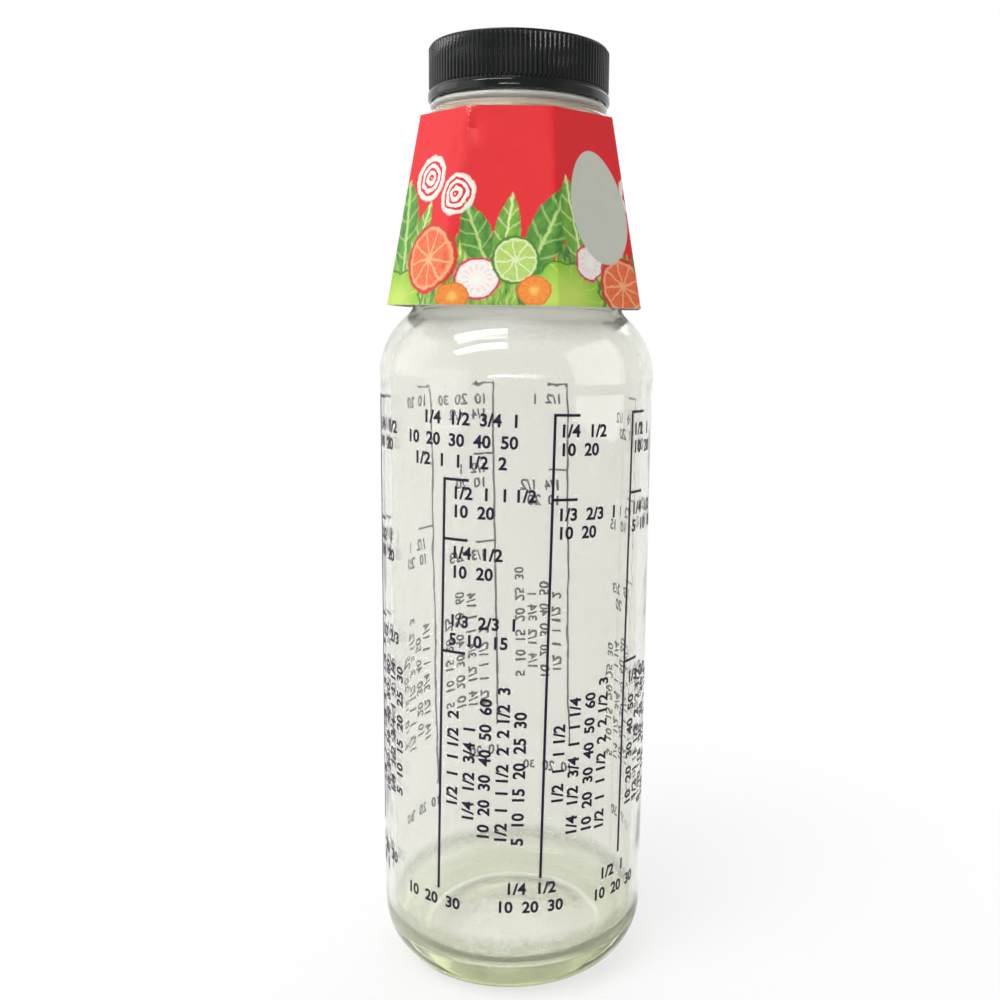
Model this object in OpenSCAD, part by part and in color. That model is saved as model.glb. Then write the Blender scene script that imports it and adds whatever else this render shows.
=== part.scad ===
// Glass mixing bottle for salad dressing, with a ribbed screw cap, a printed paper sleeve round its
// neck and fill scales on the glass. It stands on its base at the origin, +Z up. Its front faces -Y.

/* [Glass body] */
// Outer radius of the straight wall
body_r = 31.9; // [31.4:0.1:32.2]
// Height where the straight wall ends and the shoulder roll starts
wall_top_z = 138.8; // [138.6:0.1:139.4]
// Height from the top of the straight wall to the widest part of the roll
roll_h = 2.9; // [2.5:0.1:3.5]
// How far the shoulder roll stands out past the wall
roll_out = 0.2; // [0.1:0.05:0.6]
// Radius of the shoulder's round
shoulder_r = 18.2; // [16:0.1:19]
// Angle at which the shoulder's round runs into the neck
shoulder_deg = 50; // [42:1:56]
// Glass thickness in the wall
wall_t = 2.4; // [1.8:0.1:3]
// Width of the heel's round
heel_w = 9.7; // [8:0.1:11]
// Height of the heel's round
heel_h = 13.3; // [11:0.1:15]
// Height of the push-up under the base
push_up_h = 3.2; // [2:0.1:4]
// Thickness of the glass floor
floor_t = 7.4; // [6.5:0.1:9]

/* [Neck and finish] */
// Outer radius of the neck where the paper sleeve hangs
hang_r = 20.8; // [20.5:0.05:20.9]
// Height of the neck's taper, from its foot to where the paper sleeve hangs
taper_h = 34.2; // [32:0.1:35]
// Outer radius of the neck at its foot
neck_foot_r = 23.6; // [23:0.1:24.2]
// Height of the neck's foot above the widest part of the roll
neck_foot_up = 23.3; // [22:0.1:26]
// Outer radius of the bead under the cap
bead_r = 20.1; // [19.8:0.05:20.3]
// Height of the bead's top above where the sleeve hangs
bead_up = 3.6; // [3.4:0.05:4]
// Outer radius of the plain finish under the thread
finish_r = 17.5; // [17.3:0.05:17.6]
// Radius of the mouth
mouth_r = 15.5; // [15:0.1:15.8]
// Height of the finish from the bead to the lip
finish_h = 10.2; // [10.1:0.1:10.6]

/* [Screw thread] */
// Rise of the thread in one turn
pitch = 4.233; // [4:0.001:4.4]
// How far the glass thread stands out
thread_h = 1.2; // [1:0.05:1.3]
// Height of the thread's start above the bead
thread_up = 3.2; // [3:0.1:3.3]
// Turns of the glass thread
thread_turns = 1.25; // [1:0.05:1.35]
// Turns of the cap's thread
cap_thread_turns = 1.1; // [1:0.05:1.15]
// Clearance from the glass thread to the cap's bore
cap_play = 0.3; // [0.2:0.05:0.35]

/* [Screw cap] */
// Outer radius over the ribs
rib_r = 20.4; // [20.3:0.05:20.5]
// Depth of the grooves between the ribs
rib_depth = 0.4; // [0.3:0.05:0.45]
// Number of ribs
rib_count = 120; // [90:10:120]
// Outer radius of the smooth rim
rim_r = 20.65; // [20.5:0.05:20.7]
// Height of the smooth rim
rim_h = 2.3; // [2:0.1:2.6]
// Gap under the cap
cap_gap = 0.2; // [0.15:0.05:0.3]
// Thickness of the cap's top
cap_top_t = 1.25; // [1:0.05:1.5]
// Thickness of the seal disc
liner_t = 0.9; // [0.7:0.05:1]

/* [Paper sleeve] */
// Gap between the sleeve's panels and the neck where it hangs
sleeve_play = 0.05; // [0.02:0.01:0.1]
// Radius to the creases at the bottom
sleeve_low_r = 31.2; // [30.5:0.1:31.6]
// Height of the sleeve
sleeve_h = 41.5; // [39:0.5:42]
// Thickness of the board
board_t = 0.4; // [0.3:0.05:0.42]
// Direction of the crease left of the front panel, from the front
first_crease_deg = -26.6; // [-30:0.1:-24]
// Number of panels
panel_count = 8; // [8:1:8]

/* [Scales] */
// Width of the printed lines
line_w = 0.6; // [0.4:0.05:0.8]
// Length of the tick marks
tick_len = 6; // [5:0.1:7]
// How far the printing leans round the wall, lower end to the left
print_lean_deg = 1.2; // [0:0.1:1.5]
// Thickness of the enamel
enamel_t = 0.1; // [0.08:0.01:0.12]

/* [Hidden] */
$fn = 96;

// Heights up the bottle, each from the one below
shoulder_z = wall_top_z + roll_h;
neck_foot_z = shoulder_z + neck_foot_up;
hang_z = neck_foot_z + taper_h;
bead_top_z = hang_z + bead_up;
lip_z = bead_top_z + finish_h;
cap_low_z = bead_top_z + cap_gap;
liner_play = 0.03;
cap_ceiling_z = lip_z + liner_t + liner_play;
cap_top_z = cap_ceiling_z + cap_top_t;
thread_r = finish_r + thread_h;
cap_bore_r = thread_r + cap_play;

// Half widths of both threads at their root and crest, and how far the ridges reach into their walls
ridge_root = 1.15;
ridge_crest = 0.55;
ridge_in = 0.3;
thread_z = bead_top_z + thread_up;
cap_thread_drop = 1.65;
cap_thread_in = 0.35;

// Small rounds and gaps: the lip, the bead, the cap's rim and top, and round the seal disc
lip_edge = 0.5;
bead_edge = 0.6;
rim_edge = 0.5;
cap_edge = 0.8;
rib_gap = 0.5;
disc_gap = 0.4;

// Inside of the bottle: the corner round the floor, and how the floor and the neck run
floor_corner = 6.2;
floor_rise = 1.6;
floor_flat = 8;
floor_run = 6;
neck_run = 4;
wall_run = 6;

// Sleeve: its creases lie outside the round neck that its panels touch
panel_deg = 360 / panel_count;
sleeve_top_r = (hang_r + sleeve_play + board_t) / cos(panel_deg / 2);
sleeve_low_z = hang_z - sleeve_h;

// Shoulder: a round whose widest point is the roll
roll_r = body_r + roll_out;
shoulder_x = roll_r - shoulder_r;

// Each scale is its direction from the front, the height of its foot and those of its ticks.
// The direction holds at the height that the printing leans about.
lean_z = 134;
SCALES = [
    [-28.2, 26.7, [82.6, 107.7, 120.7]],
    [14.7, 31, [116.6, 134.7]],
    [53.6, 31.9, [77.5, 116.6, 134.7]],
    [98, 34, [90, 111, 136]],
    [154, 40, [115.5, 138.1]],
    [192, 44.5, [96, 119.6, 138.1]],
    [227.5, 31, [101.5, 137.9]],
    [280, 33, [86, 109, 137]]];

function arc(x, z, rx, rz, from_deg, to_deg, steps) =
    [for (i = [0:steps]) let(a = from_deg + (to_deg - from_deg) * i / steps)
        [x + rx * cos(a), z + rz * sin(a)]];

function curve(p, q, r, s, steps) =
    [for (i = [0:steps]) let(t = i / steps, u = 1 - t)
        u * u * u * p + 3 * u * u * t * q + 3 * u * t * t * r + t * t * t * s];

// Point on a circle about the axis, in a direction measured from the front towards +X
function around(r, deg, z) = [r * sin(deg), -r * cos(deg), z];

// The bottle's outline, from the middle of the base up the outside
function outer_outline() =
    let(
        ring_r = body_r - heel_w,
        shoulder = arc(shoulder_x, shoulder_z, shoulder_r, shoulder_r, 0, shoulder_deg, 10),
        last = shoulder[len(shoulder) - 1],
        tangent = [-sin(shoulder_deg), cos(shoulder_deg)],
        neck_slope = [hang_r - neck_foot_r, hang_z - neck_foot_z] / (hang_z - neck_foot_z))
    concat(
        curve([0, push_up_h], [ring_r * 0.5, push_up_h], [ring_r * 0.72, 0.3], [ring_r - 1.6, 0], 8),
        arc(ring_r, heel_h, heel_w, heel_h, -90, 0, 12),
        curve([body_r, wall_top_z], [body_r, wall_top_z + roll_h * 0.4], [roll_r, shoulder_z - roll_h * 0.4],
            [roll_r, shoulder_z], 5),
        [for (i = [1:len(shoulder) - 1]) shoulder[i]],
        curve(last, last + tangent * 3, [neck_foot_r, neck_foot_z] - neck_slope * 5,
            [neck_foot_r, neck_foot_z], 8),
        [[hang_r, hang_z]],
        curve([hang_r, hang_z], [hang_r - 0.1, hang_z + 1.2], [bead_r - 0.5, hang_z + 1.5],
            [bead_r - bead_edge, bead_top_z - 1.55], 5),
        arc(bead_r - bead_edge, bead_top_z - bead_edge - 0.1, bead_edge, bead_edge + 0.1, -70, 90, 6),
        [[finish_r, bead_top_z], [finish_r, lip_z - lip_edge]],
        arc(finish_r - lip_edge, lip_z - lip_edge, lip_edge, lip_edge, 0, 90, 4));

// The inside, from the lip down to the middle of the floor
function inner_outline() =
    let(
        inside_r = body_r - wall_t,
        inner_shoulder_r = shoulder_r - wall_t,
        shoulder = arc(shoulder_x, shoulder_z, inner_shoulder_r, inner_shoulder_r, shoulder_deg, 0, 10),
        first = shoulder[0],
        tangent = [-sin(shoulder_deg), cos(shoulder_deg)],
        neck_t = wall_t,
        neck_slope = [hang_r - neck_foot_r, hang_z - neck_foot_z] / (hang_z - neck_foot_z),
        foot = [neck_foot_r - neck_t, neck_foot_z],
        corner = floor_corner,
        floor_z = floor_t)
    concat(
        arc(mouth_r + lip_edge, lip_z - lip_edge, lip_edge, lip_edge, 90, 180, 4),
        curve([mouth_r, bead_top_z + 1], [mouth_r, bead_top_z - 2],
            [hang_r - neck_t - 0.6, hang_z + 1], [hang_r - neck_t, hang_z - neck_run], 6),
        curve(foot, foot - neck_slope * 5, first + tangent * 3, first, 8),
        [for (i = [1:len(shoulder) - 1]) shoulder[i]],
        [[inside_r, shoulder_z - wall_run]],
        arc(inside_r - corner, floor_z + corner, corner, corner, 0, -90, 8),
        curve([inside_r - corner, floor_z], [inside_r - corner - floor_run, floor_z],
            [floor_flat, floor_z + floor_rise], [0, floor_z + floor_rise], 6));

// A four-sided face as two triangles
function halves(f) = [[f[0], f[1], f[2]], [f[0], f[2], f[3]]];

// One ridge of a screw thread. The section is listed counter-clockwise, as radius and height.
module ridge(root_r, tip_r, start_z, turns) {
    step_deg = 10;
    fade_deg = 25;
    steps = round(turns * 360 / step_deg);
    side = tip_r > root_r ? 1 : -1;
    function grow(i) = min(1, 0.12 + min(i, steps - i) * step_deg / fade_deg);
    function section(i) =
        let(tip = root_r + (tip_r - root_r) * grow(i), root = root_r - side * ridge_in)
        side > 0
            ? [[root, -ridge_root], [tip, -ridge_crest], [tip, ridge_crest], [root, ridge_root]]
            : [[tip, -ridge_crest], [root, -ridge_root], [root, ridge_root], [tip, ridge_crest]];
    points = [for (i = [0:steps]) for (p = section(i))
        [p.x * cos(i * step_deg), p.x * sin(i * step_deg), start_z + pitch * i * step_deg / 360 + p.y]];
    sides = [for (i = [0:steps - 1]) for (j = [0:3])
        [i * 4 + j, i * 4 + (j + 1) % 4, i * 4 + 4 + (j + 1) % 4, i * 4 + 4 + j]];
    polyhedron(points, concat([[3, 2, 1, 0]], sides, [[for (j = [0:3]) steps * 4 + j]]), convexity = 6);
}

module glass_bottle() {
    color([0.80, 0.86, 0.80, 0.45]) union() {
        rotate_extrude() polygon(concat(outer_outline(), inner_outline()));
        ridge(finish_r, thread_r, thread_z, thread_turns);
    }
}

module cap_liner() {
    color([0.93, 0.93, 0.90]) translate([0, 0, lip_z]) cylinder(r = cap_bore_r - disc_gap, h = liner_t);
}

module rib_band(low_z, high_z) {
    per_rib = 360 / rib_count;
    outline = [for (i = [0:rib_count - 1]) for (p = [[-0.34, 0], [-0.14, 1], [0.14, 1], [0.34, 0]])
        let(a = (i + p.x) * per_rib, r = rib_r - rib_depth * (1 - p.y)) [r * cos(a), r * sin(a)]];
    translate([0, 0, low_z]) linear_extrude(high_z - low_z) polygon(outline);
}

module screw_cap() {
    root_r = rib_r - rib_depth;
    rib_low_z = cap_low_z + rim_h + rib_gap;
    rib_high_z = cap_top_z - cap_edge;
    color([0.10, 0.11, 0.11]) union() {
        difference() {
            union() {
                rib_band(rib_low_z, rib_high_z);
                rotate_extrude() polygon(concat(
                    [[0, cap_low_z], [rim_r - rim_edge, cap_low_z]],
                    arc(rim_r - rim_edge, cap_low_z + rim_edge, rim_edge, rim_edge, -90, 0, 4),
                    arc(rim_r - rim_edge, cap_low_z + rim_h - rim_edge, rim_edge, rim_edge, 0, 90, 4),
                    [[root_r - 0.1, cap_low_z + rim_h], [root_r - 0.1, rib_high_z - 0.1],
                        [root_r + 0.25, rib_high_z - 0.1]],
                    arc(root_r + 0.25 - cap_edge, cap_top_z - cap_edge, cap_edge, cap_edge, 0, 90, 5),
                    [[0, cap_top_z]]));
            }
            translate([0, 0, cap_low_z - 1]) cylinder(r = cap_bore_r, h = cap_ceiling_z - cap_low_z + 1);
        }
        ridge(cap_bore_r, finish_r + cap_thread_in, thread_z - cap_thread_drop, cap_thread_turns);
    }
}

// How much each crease leans round the axis from the top of the sleeve to its bottom. The two
// beside the flap don't lean, so that the flap lies flat on its panel.
CREASE_LEAN = [-7.4, -2.6, -2, -1, 0, 0, -1, 2.4];

module paper_sleeve() {
    corner_t = board_t / cos(panel_deg / 2);
    points = [for (i = [0:panel_count - 1])
        let(top = first_crease_deg + i * panel_deg, low = top + CREASE_LEAN[i])
        each [around(sleeve_low_r - corner_t, low, sleeve_low_z), around(sleeve_low_r, low, sleeve_low_z),
            around(sleeve_top_r, top, hang_z), around(sleeve_top_r - corner_t, top, hang_z)]];
    // Both skins of a panel fold along the same diagonal, so the board keeps its thickness
    faces = [for (i = [0:panel_count - 1]) let(a = i * 4, b = (i + 1) % panel_count * 4)
        for (f = [[a, a + 1, b + 1, b], [a + 1, a + 2, b + 2, b + 1], [a + 2, a + 3, b + 3, b + 2],
            [a, b, b + 3, a + 3]]) each halves(f)];
    color([0.88, 0.22, 0.20]) polyhedron(points, faces, convexity = 4);
}

// The flap that closes the sleeve, glued inside one of the rear panels: from one crease across a
// third of the panel, and from near the sleeve's bottom to short of its top
FLAP_PANEL = 4;
FLAP_ACROSS = [0.04, 0.36];
FLAP_UP = [0.05, 0.78];
glue_t = 0.04;

module sleeve_glue_flap() {
    corner_t = board_t / cos(panel_deg / 2);
    // Corner of the panel's inner face: 0 or 1 across it, 0 or 1 up it
    function inner_corner(across, up) =
        let(crease = FLAP_PANEL + across, top = first_crease_deg + crease * panel_deg)
        up == 1 ? around(sleeve_top_r - corner_t, top, hang_z)
            : around(sleeve_low_r - corner_t, top + CREASE_LEAN[crease], sleeve_low_z);
    foot = inner_corner(0, 0);
    outward = cross(inner_corner(1, 0) - foot, inner_corner(0, 1) - foot);
    function on_panel(across, up, depth) =
        (inner_corner(0, 0) * (1 - across) + inner_corner(1, 0) * across) * (1 - up)
        + (inner_corner(0, 1) * (1 - across) + inner_corner(1, 1) * across) * up
        - outward / norm(outward) * depth;
    corners = [[FLAP_ACROSS[0], FLAP_UP[0]], [FLAP_ACROSS[1], FLAP_UP[0]],
        [FLAP_ACROSS[1] * 0.9, FLAP_UP[1]], [FLAP_ACROSS[0], FLAP_UP[1]]];
    points = concat([for (p = corners) on_panel(p.x, p.y, glue_t)],
        [for (p = corners) on_panel(p.x, p.y, glue_t + board_t)]);
    color([0.90, 0.89, 0.84]) polyhedron(points,
        [for (f = [[0, 1, 2, 3], [4, 7, 6, 5], [0, 4, 5, 1], [1, 5, 6, 2], [2, 6, 7, 3], [3, 7, 4, 0]])
            each halves(f)]);
}

// The flat outline of a scale: an upright with ticks to its right, the last one at its top
function comb(low_z, ticks) =
    let(near = line_w / 2, far = tick_len - line_w / 2, last = len(ticks) - 1)
    concat(
        [[-near, low_z], [near, low_z]],
        [for (i = [0:last]) each concat(
            [[near, ticks[i]], [far, ticks[i]], [far, ticks[i] + line_w]],
            i < last ? [[near, ticks[i] + line_w]] : [])],
        [[-near, ticks[last] + line_w]]);

module fill_scale(number) {
    s = SCALES[number - 1];
    low_z = s[1];
    height = s[2][len(s[2]) - 1] + line_w - low_z;
    color([0.22, 0.15, 0.24]) intersection() {
        translate([0, 0, low_z - 1]) difference() {
            cylinder(r = body_r + enamel_t, h = height + 2);
            translate([0, 0, -1]) cylinder(r = body_r, h = height + 4);
        }
        rotate([0, 0, s[0]]) rotate([90, 0, 0]) translate([0, 0, body_r / 2])
            linear_extrude(body_r) translate([0, lean_z]) rotate(-print_lean_deg)
                translate([0, -lean_z]) polygon(comb(low_z, s[2]));
    }
}

glass_bottle();
cap_liner();
screw_cap();
paper_sleeve();
sleeve_glue_flap();
for (i = [1:len(SCALES)]) fill_scale(i);
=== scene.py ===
import math
import bpy
from mathutils import Matrix, Vector


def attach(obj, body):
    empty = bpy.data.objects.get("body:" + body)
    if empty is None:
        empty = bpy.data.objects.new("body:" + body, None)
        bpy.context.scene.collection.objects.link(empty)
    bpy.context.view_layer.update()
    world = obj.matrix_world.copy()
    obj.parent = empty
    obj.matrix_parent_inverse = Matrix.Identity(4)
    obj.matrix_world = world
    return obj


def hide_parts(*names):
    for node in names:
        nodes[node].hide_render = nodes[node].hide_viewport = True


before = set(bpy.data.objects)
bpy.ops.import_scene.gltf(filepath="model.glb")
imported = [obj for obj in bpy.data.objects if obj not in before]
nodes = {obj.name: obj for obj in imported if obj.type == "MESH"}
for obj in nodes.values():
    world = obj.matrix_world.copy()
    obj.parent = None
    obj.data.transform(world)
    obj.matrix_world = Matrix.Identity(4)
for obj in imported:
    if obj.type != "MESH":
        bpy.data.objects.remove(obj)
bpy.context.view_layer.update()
print("frame loaded:", len(nodes), "nodes")

# The camera stands in front of the bottle, a little to its left and looking down
camera = {
    "place": (0.0, -0.264, 0.15365),
    "turn": 0.05092,      # to the right, radians
    "dip": 0.1559,        # downwards, radians
    "roll": 0.01516,
    "lens": 39.881,       # for a 36 mm sensor
    "shift": -0.072,
}


def placeCamera():
    turn, dip, roll = camera["turn"], camera["dip"], camera["roll"]
    ahead = Vector((math.sin(turn) * math.cos(dip), math.cos(turn) * math.cos(dip), -math.sin(dip)))
    level = Vector((math.cos(turn), -math.sin(turn), 0))
    upright = level.cross(ahead)
    right = level * math.cos(roll) + upright * math.sin(roll)
    up = upright * math.cos(roll) - level * math.sin(roll)
    bpy.ops.object.camera_add()
    cam = bpy.context.object
    cam.name = "camera"
    cam.matrix_world = Matrix.Translation(camera["place"]) @ Matrix((right, up, -ahead)).transposed().to_4x4()
    cam.data.sensor_width = 36
    cam.data.lens = camera["lens"]
    cam.data.shift_x = camera["shift"]
    bpy.context.scene.camera = cam


placeCamera()
print("camera placed")


# Modelling steps that several pieces use

def deselectAll():
    if bpy.context.object and bpy.context.object.mode != "OBJECT":
        bpy.ops.object.mode_set(mode="OBJECT")
    bpy.ops.object.select_all(action="DESELECT")


def makeActive(obj):
    deselectAll()
    obj.select_set(True)
    bpy.context.view_layer.objects.active = obj


def traceOutline(name, points):
    # a line of edges in the XZ plane, through points given as radius and height
    deselectAll()
    bpy.ops.mesh.primitive_plane_add(size=0.002)
    obj = bpy.context.object
    obj.name = name
    bpy.ops.object.mode_set(mode="EDIT")
    bpy.ops.mesh.merge(type="CENTER")
    bpy.ops.transform.translate(value=(points[0][0], 0, points[0][1]))
    for start, end in zip(points, points[1:]):
        step = (end[0] - start[0], 0, end[1] - start[1])
        bpy.ops.mesh.extrude_vertices_move(TRANSFORM_OT_translate={"value": step})
    bpy.ops.object.mode_set(mode="OBJECT")
    return obj


def spinRound(obj, steps):
    makeActive(obj)
    bpy.ops.object.mode_set(mode="EDIT")
    bpy.ops.mesh.select_all(action="SELECT")
    bpy.ops.mesh.spin(steps=steps, angle=2 * math.pi, center=(0, 0, 0), axis=(0, 0, 1))
    bpy.ops.mesh.select_all(action="SELECT")
    bpy.ops.mesh.remove_doubles(threshold=0.000002)
    bpy.ops.mesh.normals_make_consistent(inside=False)
    bpy.ops.object.mode_set(mode="OBJECT")


def applyModifiers(obj):
    makeActive(obj)
    for modifier in list(obj.modifiers):
        bpy.ops.object.modifier_apply(modifier=modifier.name)


def smooth(obj, degrees):
    makeActive(obj)
    bpy.ops.object.shade_smooth_by_angle(angle=math.radians(degrees))


def give(obj, material):
    obj.data.materials.clear()
    obj.data.materials.append(material)


def arc(x, z, rx, rz, start, end, steps):
    points = []
    for i in range(steps + 1):
        a = math.radians(start + (end - start) * i / steps)
        points.append((x + rx * math.cos(a), z + rz * math.sin(a)))
    return points


def curve(p, q, r, s, steps):
    points = []
    for i in range(steps + 1):
        t = i / steps
        u = 1 - t
        w = (u * u * u, 3 * u * u * t, 3 * u * t * t, t * t * t)
        points.append(tuple(w[0] * p[k] + w[1] * q[k] + w[2] * r[k] + w[3] * s[k] for k in (0, 1)))
    return points


cap = {
    "low": 0.203, "top": 0.21518, "ceiling": 0.21393, "bore": 0.019, "rimR": 0.02065, "rimH": 0.0021,
    "ribR": 0.0204, "ribDepth": 0.0005, "ribs": 120, "edge": 0.0006,
    "thread": {"tip": 0.01785, "start": 0.20435, "pitch": 0.004233, "turns": 1.1},
}


# Materials

def newMaterial(name):
    material = bpy.data.materials.new(name)
    material.use_nodes = True
    tree = material.node_tree
    tree.nodes.clear()
    output = tree.nodes.new("ShaderNodeOutputMaterial")
    shader = tree.nodes.new("ShaderNodeBsdfPrincipled")
    tree.links.new(shader.outputs[0], output.inputs["Surface"])
    return material, tree, shader, output


def objectPoint(tree):
    return tree.nodes.new("ShaderNodeTexCoord").outputs["Object"]


def noise(tree, point, scale, detail=2.0, rough=0.5):
    node = tree.nodes.new("ShaderNodeTexNoise")
    node.inputs["Scale"].default_value = scale
    node.inputs["Detail"].default_value = detail
    node.inputs["Roughness"].default_value = rough
    tree.links.new(point, node.inputs["Vector"])
    return node.outputs["Fac"]


def sum2(tree, operation, a, b=0.0, c=0.0, clamp=False):
    node = tree.nodes.new("ShaderNodeMath")
    node.operation = operation
    node.use_clamp = clamp
    for socket, value in zip(node.inputs, (a, b, c)):
        if isinstance(value, (int, float)):
            socket.default_value = value
        else:
            tree.links.new(value, socket)
    return node.outputs[0]


def both(tree, a, b):
    return sum2(tree, "MULTIPLY", a, b)


def over(tree, value, edge, soft):
    # 0 below the edge, 1 above it
    return sum2(tree, "MULTIPLY_ADD", value, 0.5 / soft, 0.5 - 0.5 * edge / soft, clamp=True)


def under(tree, value, edge, soft):
    return sum2(tree, "MULTIPLY_ADD", value, -0.5 / soft, 0.5 + 0.5 * edge / soft, clamp=True)


def mixColour(tree, factor, a, b):
    node = tree.nodes.new("ShaderNodeMix")
    node.data_type = "RGBA"
    for socket, value in ((node.inputs[0], factor), (node.inputs[6], a), (node.inputs[7], b)):
        if isinstance(value, (int, float)):
            socket.default_value = value
        elif isinstance(value, tuple):
            socket.default_value = (*value, 1)
        else:
            tree.links.new(value, socket)
    return node.outputs[2]


def bump(tree, shader, height, strength, distance):
    node = tree.nodes.new("ShaderNodeBump")
    node.inputs["Strength"].default_value = strength
    node.inputs["Distance"].default_value = distance
    tree.links.new(height, node.inputs["Height"])
    tree.links.new(node.outputs[0], shader.inputs["Normal"])


glassLook = {
    "tint": (0.935, 0.932, 0.905), "absorb": (0.83, 0.90, 0.22), "density": 11,
    # the neck colour here is a painted show-through of the board behind the neck, not a tint of the glass
    # the ring colour here darkens the inner floor corner with painted shade
    "neckBoardShowThrough": (0.66, 0.56, 0.43), "heelTint": (0.84, 0.88, 0.70), "ringPaintedShade": (0.58, 0.60, 0.48),
    # share of light that goes straight through, at heights in metres
    "clear": [(0.0, 0.94), (0.15, 0.93), (0.155, 0.78), (0.19, 0.78), (0.2, 0.62), (0.2025, 0.56), (0.213, 0.7)],
    # how far the cloudy outside of the heel reaches up
    "heel": [(0.0, 1.0), (0.006, 0.8), (0.010, 0.35), (0.014, 0.0)],
    # roughness of the stippled base, fading up the heel
    "rough": [(0.0, 0.34), (0.0032, 0.26), (0.006, 0.10), (0.010, 0.0)],
}


def byHeight(tree, stops, top):
    # a value read off the object's own Z between the base and a height
    node = tree.nodes.new("ShaderNodeSeparateXYZ")
    tree.links.new(objectPoint(tree), node.inputs[0])
    ramp = tree.nodes.new("ShaderNodeValToRGB")
    ramp.color_ramp.interpolation = "EASE"
    marks = ramp.color_ramp.elements
    while len(marks) < len(stops):
        marks.new(0.5)
    for mark, (z, value) in zip(marks, stops):
        mark.position = z / top
        mark.color = (value, value, value, 1)
    tree.links.new(sum2(tree, "MULTIPLY", node.outputs[2], 1 / top), ramp.inputs[0])
    return ramp.outputs[0]


def glassMaterial():
    look = glassLook
    material, tree, shader, output = newMaterial("clearGlass")
    place = objectPoint(tree)
    cloud = noise(tree, place, 45, 3)
    dark = tuple(c * 0.96 for c in look["tint"])
    # painted show-through: the neck above the sleeve takes the board's warm grey into its colour, standing in for the
    # board seen through the glass
    boardShowThrough = byHeight(tree, [(0.0, 0.0), (0.195, 0.0), (0.1985, 1.0), (0.2005, 1.0), (0.2022, 0.0)], 0.213)
    tone = mixColour(tree, cloud, look["tint"], dark)
    tone = mixColour(tree, boardShowThrough, tone, look["neckBoardShowThrough"])
    across = apart(tree, place)
    fromAxis = vectorSum(tree, "LENGTH", joined(tree, across[0], across[1]), (0.0, 0.0, 0.0))
    outside = over(tree, fromAxis, 0.0205, 0.0015)
    heel = both(tree, byHeight(tree, look["heel"], 0.02), outside)
    tone = mixColour(tree, heel, tone, look["heelTint"])
    unevenShadedRing = tree.nodes.new("ShaderNodeAttribute")
    unevenShadedRing.attribute_name = "unevenShadedRing"
    streaks = over(tree, noise(tree, place, 520, 4, 0.65), 0.42, 0.25)
    ring = both(tree, unevenShadedRing.outputs["Fac"], sum2(tree, "MULTIPLY_ADD", streaks, 0.7, 0.3))
    # the darker ring colour is painted shade in the inner corner of the floor; its cloudiness and roughness are the
    # glass's own
    tree.links.new(mixColour(tree, ring, tone, look["ringPaintedShade"]), shader.inputs["Base Color"])
    cloudy = sum2(tree, "MULTIPLY_ADD", heel, 0.13, both(tree, ring, 0.4))
    clear = sum2(tree, "SUBTRACT", byHeight(tree, look["clear"], 0.213), cloudy)
    tree.links.new(clear, shader.inputs["Transmission Weight"])
    stipple = both(tree, byHeight(tree, look["rough"], 0.02), sum2(tree, "MULTIPLY_ADD", outside, -0.45, 1.0))
    tree.links.new(sum2(tree, "MULTIPLY_ADD", ring, 0.12, stipple), shader.inputs["Roughness"])
    shader.inputs["IOR"].default_value = 1.5
    # slow ripples on the wall, closer ones low down and round the edge of the shoulder
    slow = noise(tree, place, 55, 2)
    close = noise(tree, place, 260, 2)
    where = byHeight(tree, [(0.0, 0.3), (0.018, 0.2), (0.035, 0.07), (0.139, 0.07), (0.1405, 0.4), (0.144, 0.35),
                            (0.158, 0.25)], 0.213)
    bump(tree, shader, sum2(tree, "MULTIPLY_ADD", both(tree, close, where), 0.8, slow), 0.10, 0.002)
    tint = tree.nodes.new("ShaderNodeVolumeAbsorption")
    tint.inputs["Color"].default_value = (*look["absorb"], 1)
    tint.inputs["Density"].default_value = look["density"]
    tree.links.new(tint.outputs[0], output.inputs["Volume"])
    return material


def capMaterial():
    material, tree, shader, output = newMaterial("capPlastic")
    place = objectPoint(tree)
    cloud = noise(tree, place, 220, 3)
    fine = noise(tree, place, 2600, 2)
    tone = mixColour(tree, cloud, (0.004, 0.005, 0.005), (0.009, 0.011, 0.010))
    tree.links.new(tone, shader.inputs["Base Color"])
    shader.inputs["Specular IOR Level"].default_value = 0.5
    # the smooth rim is glossier than the ribs
    satin = byHeight(tree, [(0.0, 0.25), (0.2045, 0.25), (0.2056, 1.0), (0.215, 1.0)], cap["top"])
    rough = both(tree, satin, sum2(tree, "MULTIPLY_ADD", cloud, 0.16, 0.18))
    tree.links.new(rough, shader.inputs["Roughness"])
    bump(tree, shader, fine, 0.25, 0.00006)
    return material


def enamelMaterial():
    material, tree, shader, output = newMaterial("darkEnamel")
    place = objectPoint(tree)
    patch = noise(tree, place, 900, 3)
    tone = mixColour(tree, patch, (0.020, 0.008, 0.030), (0.040, 0.018, 0.050))
    tree.links.new(tone, shader.inputs["Base Color"])
    shader.inputs["Roughness"].default_value = 0.38
    shader.inputs["Specular IOR Level"].default_value = 0.15
    bump(tree, shader, patch, 0.15, 0.00004)
    return material


def boardMaterial():
    material, tree, shader, output = newMaterial("plainBoard")
    place = objectPoint(tree)
    fibre = noise(tree, place, 1500, 4, 0.7)
    tone = mixColour(tree, fibre, (0.60, 0.58, 0.52), (0.74, 0.72, 0.66))
    tree.links.new(tone, shader.inputs["Base Color"])
    shader.inputs["Roughness"].default_value = 0.8
    bump(tree, shader, fibre, 0.3, 0.00008)
    return material


def linerMaterial():
    material, tree, shader, output = newMaterial("sealDisc")
    foam = noise(tree, objectPoint(tree), 1200, 3)
    tone = mixColour(tree, foam, (0.70, 0.70, 0.66), (0.80, 0.80, 0.77))
    tree.links.new(tone, shader.inputs["Base Color"])
    shader.inputs["Roughness"].default_value = 0.65
    bump(tree, shader, foam, 0.3, 0.0001)
    return material


# The sleeve's printing is drawn on its own map, in millimetres: across from the front, up from the bottom

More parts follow.
